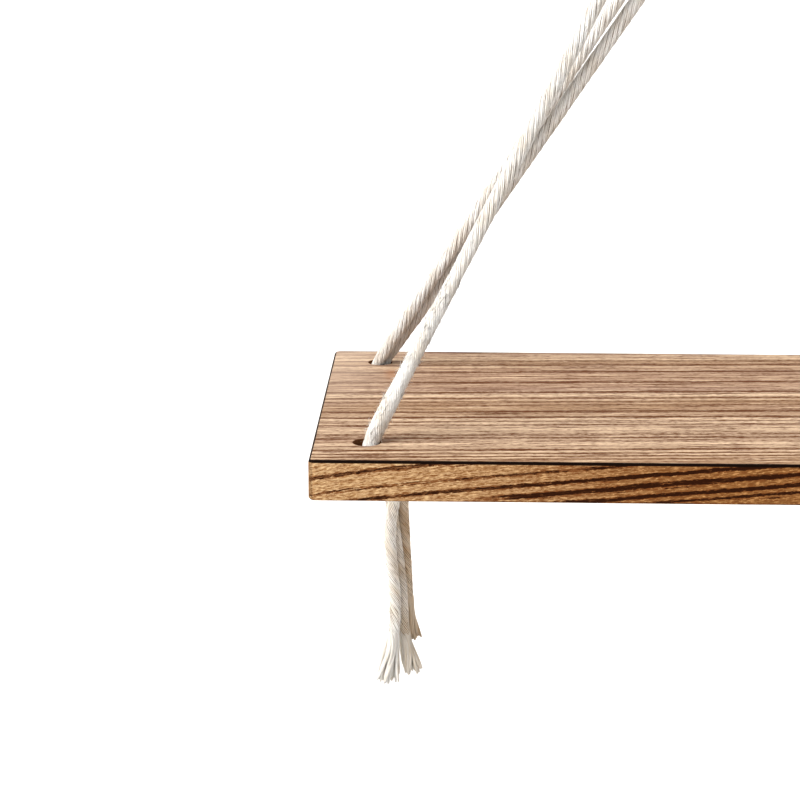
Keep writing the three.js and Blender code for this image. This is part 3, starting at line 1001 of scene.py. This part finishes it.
def thick_streaks(paint, level, streaks):
    """Streaks with a flat dark core, each from a point of the picture."""
    placed = []
    for column, row, strength, half in streaks:
        x, _, z = pixel_on_plane(column, row, 1, -PLANK_DEPTH / 2)
        across = x + PLANK_LENGTH / 2
        turned = math.exp(-across / FRONT_GRAIN_TURN)
        rise = FRONT_GRAIN_SLOPE * across - FRONT_GRAIN_LIFT * turned
        placed.append((z - rise, strength, half))
    placed.sort()
    stops = [(placed[0][0] - STREAK_MARGIN, 0.0)]
    for place, strength, half in placed:
        for offset, value in ((-1.65, 0.0), (-0.75, strength), (0.75, strength), (1.65, 0.0)):
            stops.append((place + offset * half, value))
    stops.append((placed[-1][0] + STREAK_MARGIN, 0.0))
    return paint.ramp(level, stops)


def top_colour(paint, x, row):
    """Long thin grain lines, dark and cream, over a body that changes from band to band."""
    row = (paint.grain(x, row)(0.05, 0.12) - 0.5) * 1.6 + row
    along = paint.grain(x, row)
    signed = thin_lines(paint, row)
    fade = along(0.03, 0.4).step(0.35, 0.6) * 0.8 + 0.8
    placed_dark = (signed * -1.0).clamped() * fade
    placed_cream = signed.maximum(0.0) * fade

    bands = [(grain_place(at), BODY_COLOURS[name]) for at, name in BODY_ROWS[::-1]]
    body = paint.ramp(row, bands)
    body = paint.mix(along(0.012, 0.05, 1).step(0.5, 0.8), body, BODY_COLOURS["rosy"])

    fine = along(0.02, 0.46, 3, 0.62)
    hair = along(0.09, 1.3, 2, 0.6)
    grit = along(0.34, 0.6, 2, 0.6)
    pore = along(0.16, 1.0, 1)
    cream = (fine.step(0.54, 0.64) * 0.75).maximum(placed_cream)
    body = paint.mix(cream, body, (218, 189, 158))
    dark = (fine.fall(0.37, 0.46) * 0.9).maximum(placed_dark)
    dark = dark.maximum(pore.fall(0.26, 0.36) * 0.75)
    dark = dark + hair.fall(0.32, 0.5) * 0.7 + (0.5 - grit) * 1.9
    return paint.mix(dark.clamped(), body, (90, 50, 24)), fine


def front_colour(paint, x, y, z):
    """Dark streaks that climb along the front and rear edges, over short brown flecks."""
    across = x + PLANK_LENGTH / 2
    turned = paint.math("EXPONENT", across / -FRONT_GRAIN_TURN)
    level = z - (across * FRONT_GRAIN_SLOPE - turned * FRONT_GRAIN_LIFT)
    along = paint.grain(x, level, y)
    level = level + (along(0.03, 0.15) - 0.5) + (along(0.45, 1.6) - 0.5) * 1.3
    along = paint.grain(x, level, y)
    fleck = along(0.34, 2.0, 2, 0.6)
    pore = along(0.12, 1.1, 3, 0.65)
    vein = along(0.03, 0.75, 2, 0.6)
    strand = along(0.07, 2.4, 2, 0.6)

    # Darker from the left end inwards: partly the wood's own tone, partly painted shadow
    deeper_tone_and_shadow = across.step(10.0, 175.0)
    late = across.step(55.0, 95.0)
    under = z.fall(PLANK_UNDERSIDE + 0.3, PLANK_UNDERSIDE + 1.2)
    streaks = thick_streaks(paint, level, FRONT_STREAKS) * (deeper_tone_and_shadow * 0.4 + 0.72)
    streaks = streaks.maximum(thick_streaks(paint, level, LATE_STREAKS) * late)
    streaks = streaks.maximum(vein.fall(0.30, 0.44) * (deeper_tone_and_shadow * 0.5 + 0.28))
    streaks = streaks.maximum(under * (late * 0.5 + 0.4))
    ragged = (0.5 - fleck) * 0.9 + (0.5 - strand) * 2.0 + streaks

    pale = paint.mix(deeper_tone_and_shadow, (181, 147, 108), (133, 91, 51))
    tan = paint.mix(deeper_tone_and_shadow, (150, 111, 72), (104, 63, 30))
    glint = paint.mix(deeper_tone_and_shadow, (213, 180, 134), (182, 133, 82))
    colour = paint.mix(pore.step(0.38, 0.62), tan, pale)
    colour = paint.mix(fleck.fall(0.36, 0.49) * 0.75, colour, (100, 59, 27))
    colour = paint.mix(fleck.step(0.53, 0.64) * 0.7, colour, glint)
    colour = paint.mix(ragged.step(0.15, 0.42) * 0.85, colour, (107, 60, 27))
    return paint.mix(ragged.step(0.45, 0.82), colour, (40, 16, 4)), fleck


def end_colour(paint, y, z, row):
    """End grain, where the planes of the top's grain are cut across."""
    ring = (y / 62.0) ** 2.0 * 5.0 + row
    wave = paint.grain(ring, z)(0.42, 0.03, 3, 0.6)
    grit = paint.grain(y, z)(1.1, 1.1, 3, 0.7)
    ends = paint.mix(wave.step(0.38, 0.56), (112, 72, 42), (166, 126, 84))
    return paint.mix(grit.step(0.45, 0.7) * 0.5, ends, (98, 62, 36))


def distance(along, across):
    return along.paint.math("SQRT", along ** 2.0 + across ** 2.0)


def wood_material():
    paint = Paint("wood")
    x, y, z = paint.split(paint.scaled(paint.node("TexCoord", "Object"), (1000, 1000, 1000)))
    aside_x, aside_y, up = map(abs, paint.split(paint.node("TexCoord", "Normal")))

    # The grain runs in planes that lean a little through the board
    row = (z - PLANK_TOP) * TOP_GRAIN_LEAN + y - x * TOP_GRAIN_SLOPE
    top, fine = top_colour(paint, x, row)
    edge, fleck = front_colour(paint, x, y, z)
    ends = end_colour(paint, y, z, row)
    sides = paint.mix(aside_x.step(0.75, 0.9), edge, ends)
    colour = paint.mix(up.step(0.62, 0.8), sides, top)

    # Painted orange-brown shade beside the rear hole
    shade_x, shade_y, _ = pixel_on_plane(*SHADE_PATCH_PIXEL, 2, PLANK_TOP)
    away = distance((x - shade_x) / SHADE_PATCH_REACH[0], (y - shade_y) / SHADE_PATCH_REACH[1])
    colour = paint.mix(away.fall(0.0, 1.15) * (fine * 0.9 + 0.1), colour, (146, 86, 40))

    # Painted highlight: the top is paler towards its left rear corner
    pale = x.fall(-205, -140) * y.step(-60, 95) * up * 0.3
    colour = paint.mix(pale, colour, (226, 204, 182))

    # Dark upper arris and darker corners
    slant = up.step(0.12, 0.35) * up.fall(0.93, 0.995)
    dark_arris = slant * z.step(PLANK_TOP - 2.2, PLANK_TOP - 1.4)
    lip = abs(y).step(PLANK_DEPTH / 2 - 2.3, PLANK_DEPTH / 2 - 1.3)
    dark_arris = dark_arris.maximum(lip * z.step(PLANK_TOP - 1.2, PLANK_TOP - 0.7))
    turned = aside_x.step(0.2, 0.5) * aside_y.step(0.2, 0.5)
    colour = paint.mix(dark_arris.maximum(turned * 0.45), colour, (16, 6, 3))

    # Walls of the holes
    for hole_x, hole_y in HOLE_PLACES:
        away = distance(abs(x) - hole_x, y - hole_y)
        inside = away.fall(HOLE_RADIUS + 0.15, HOLE_RADIUS + 0.5)
        colour = paint.mix(inside * 0.9, colour, (92, 56, 32))

    return paint.surface(
        Base_Color=colour, Roughness=fine * 0.25 + 0.5,
        Normal=paint.bump(fine + fleck * 0.4, 0.0005, 0.4), Specular_IOR_Level=0.02,
    )


finish_piece(build_plank(), wood_material(), "plank", "shelf")


def steel_material():
    paint = Paint("steel")
    place = paint.node("TexCoord", "Object")
    cloud = paint.noise(place, 3, 0.6, 260.0)
    scratch = paint.noise(paint.scaled(place, (3000, 3000, 220)), 2, 0.6)
    return paint.surface(
        Base_Color=paint.mix(cloud.step(0.35, 0.7), (176, 177, 179), (150, 151, 151)),
        Metallic=1.0, Roughness=scratch * 0.18 + 0.2, Normal=paint.bump(scratch, 0.00005, 0.35),
    )


steel = steel_material()
WIRE_RADIUS = 3
WIRE_SIDES = 24
RING_HALF_WIDTH = 50
RING_HEIGHT = 52.3
RING_CORNER = 8
BOWL_RADIUS = 12
BOWL_DROP = 24
FLANGE_RADIUS = 10
FLANGE_THICKNESS = 2
# The rounded lower rim of the flange: how far from its radius and above its underside
FLANGE_RIM = [(-2.4, 0), (-1.4, 0.12), (-0.6, 0.45), (-0.15, 0.95), (0, 1.4)]
FLANGE_CHAMFER = 0.15
SCREW_LENGTH = 34
SCREW_CORE = 2.2
SCREW_POINT = 7
SCREW_POINT_RADIUS = 0.4
SCREW_TIP_RADIUS = 0.15
SCREW_SEGMENTS = 48
SCREW_STEP = 0.25
THREAD_PITCH = 3
THREAD_START = 2.6
THREAD_END = 28
THREAD_HALF_WIDTH = 0.95


def ring_points():
    """The middle of the D-ring's wire: the bar, a bend, the arch and the other bend."""
    straight = RING_HALF_WIDTH - RING_CORNER
    bar = [(straight * (i / 4 - 1), 0) for i in range(9)]
    bend = [(straight + RING_CORNER * s, RING_CORNER * (1 - c)) for s, c in quarter(4)[1:]]
    rise = RING_HEIGHT - RING_CORNER
    arch = [
        (RING_HALF_WIDTH * math.cos(a), RING_CORNER + rise * math.sin(a))
        for a in turn_angles(32)[1:16]
    ]
    other_bend = [(-x, z) for x, z in bend[::-1]]
    return [[x, 0, z + BAR_HEIGHT] for x, z in bar + bend + arch + other_bend]


def build_ring():
    loop = smooth_line(ring_points(), 6, closed=True)
    line = np.concatenate([loop, loop[:1]])
    grid = tube_rings(line, np.full(len(line), WIRE_RADIUS), WIRE_SIDES)
    grid[-1] = grid[0]
    thing = grid_mesh("d_ring_wire", grid, np.arange(len(line)), closed=False)
    mesh = bmesh.new()
    mesh.from_mesh(thing.data)
    bmesh.ops.remove_doubles(mesh, verts=mesh.verts, dist=1e-6)
    mesh.to_mesh(thing.data)
    mesh.free()
    return thing


def build_hook_wire():
    """The hook's stem and bowl, with a rounded end."""
    points = [
        [0, 0, -FLANGE_THICKNESS / 2], [0, 0, -BOWL_DROP / 4],
        [0, BOWL_RADIUS / 6, -BOWL_DROP * 0.42],
    ]
    for angle in np.radians(np.linspace(50, -215, 11)):
        points.append([0, BOWL_RADIUS * math.cos(angle), BOWL_RADIUS * math.sin(angle) - BOWL_DROP])
    line = smooth_line(points, 6)
    radius = [WIRE_RADIUS] * len(line)
    tip = []
    for angle in np.radians(np.arange(1, 8) * 12.5):
        tip.append(beyond(line[-1], line[-2], WIRE_RADIUS * math.sin(angle)))
        radius.append(WIRE_RADIUS * math.cos(angle))
    line = np.concatenate([line, tip])
    return grid_mesh("hook_wire", tube_rings(line, radius, WIRE_SIDES), np.arange(len(line)))


def build_screw():
    """The wood screw: a core that runs to a point, with a thread that winds up round it."""
    around = np.arange(SCREW_SEGMENTS) / SCREW_SEGMENTS
    angles = turn_angles(SCREW_SEGMENTS)
    circle = np.stack([np.cos(angles), np.sin(angles), 0 * angles], axis=1)
    core_heights = [SCREW_LENGTH - SCREW_POINT, SCREW_LENGTH]
    grid = []
    for height in np.arange(-1.0, SCREW_LENGTH, SCREW_STEP):
        core = np.interp(height, core_heights, [SCREW_CORE, SCREW_POINT_RADIUS])
        turn = (height - THREAD_START) / THREAD_PITCH - around
        near = abs(turn - np.round(turn)) * THREAD_PITCH
        run = np.clip(min((height - THREAD_START) / 2, (THREAD_END - height) / 3), 0, 1)
        crest = np.maximum(0, 1 - near / THREAD_HALF_WIDTH) * run
        radius = core + np.minimum(1, crest * 1.15)
        grid.append(radius[:, None] * circle + [0, 0, height])
    grid.append(SCREW_TIP_RADIUS * circle + [0, 0, SCREW_LENGTH])
    return grid_mesh("hook_screw", np.array(grid), np.arange(len(grid)))


def build_flange():
    profile = [(0, -FLANGE_THICKNESS)]
    profile += [(FLANGE_RADIUS + out, up - FLANGE_THICKNESS) for out, up in FLANGE_RIM]
    profile += [(FLANGE_RADIUS, -FLANGE_CHAMFER), (FLANGE_RADIUS - FLANGE_CHAMFER, 0), (0, 0)]
    return turned_object("hook_flange", profile, 96)


finish_piece(build_ring(), steel, "d_ring", "ring")
for piece in (build_hook_wire(), crisp(build_flange()), crisp(build_screw(), 50)):
    finish_piece(piece, steel, "ceiling_hook", "hook")

FLOOR = -620
WALL = 2600
WALL_TOP = 3200
COVE = 900
STAGE_HALF_WIDTH = 5000


def build_stage():
    """A pale floor that bends up into a wall."""
    start = WALL - COVE
    profile = [(-WALL, FLOOR), (0, FLOOR)]
    profile += [(start + COVE * s, FLOOR + COVE * (1 - c)) for s, c in quarter(16)]
    profile.append((WALL, WALL_TOP))
    edges = (-STAGE_HALF_WIDTH * MM, STAGE_HALF_WIDTH * MM)
    points = [(x, y * MM, z * MM) for y, z in profile for x in edges]
    faces = [(2 * i, 2 * i + 1, 2 * i + 3, 2 * i + 2) for i in range(len(profile) - 1)]
    mesh = bpy.data.meshes.new("backdrop")
    mesh.from_pydata(points, [], faces)
    mesh.shade_smooth()
    backdrop = add_object("backdrop", mesh)
    paper = Paint("pale_paper").surface(
        Base_Color=(0.93, 0.93, 0.93, 1.0), Roughness=0.95, Specular_IOR_Level=0.1
    )
    give(backdrop, paper)


LIGHT_SIDE = (-0.78, -0.46, 0.42)
LIGHT_SIDE_STRENGTH = 1.0
DARK_SIDE_STRENGTH = 0.26
SUN_WAY = (0.72, 0.36, -0.5)
SUN_ENERGY = 4.3
SUN_ANGLE = math.radians(50)
SUN_COLOUR = (1.0, 0.985, 0.96)


def build_world():
    """Even white light, stronger from the left and the front than from the right."""
    paint = Paint("studio", "worlds")
    ends = {0: paint.node("TexCoord", "Generated"), 1: Vector(LIGHT_SIDE).normalized()}
    towards = paint.node("VectorMath", "Value", ends, operation="DOT_PRODUCT")
    strength = paint.node("MapRange", "Result", {
        "Value": towards, "From Min": -1.0,
        "To Min": DARK_SIDE_STRENGTH, "To Max": LIGHT_SIDE_STRENGTH,
    })
    bpy.context.scene.world = paint.surface(Color=(1.0, 1.0, 1.0, 1.0), Strength=strength)


def build_sun():
    sun = bpy.data.lights.new("key", "SUN")
    sun.energy = SUN_ENERGY
    sun.angle = SUN_ANGLE
    sun.color = SUN_COLOUR
    key = add_object("key", sun)
    key.rotation_euler = Vector(SUN_WAY).to_track_quat("-Z", "Y").to_euler()


build_stage()
build_world()
build_sun()
bpy.context.scene.view_settings.view_transform = "Standard"
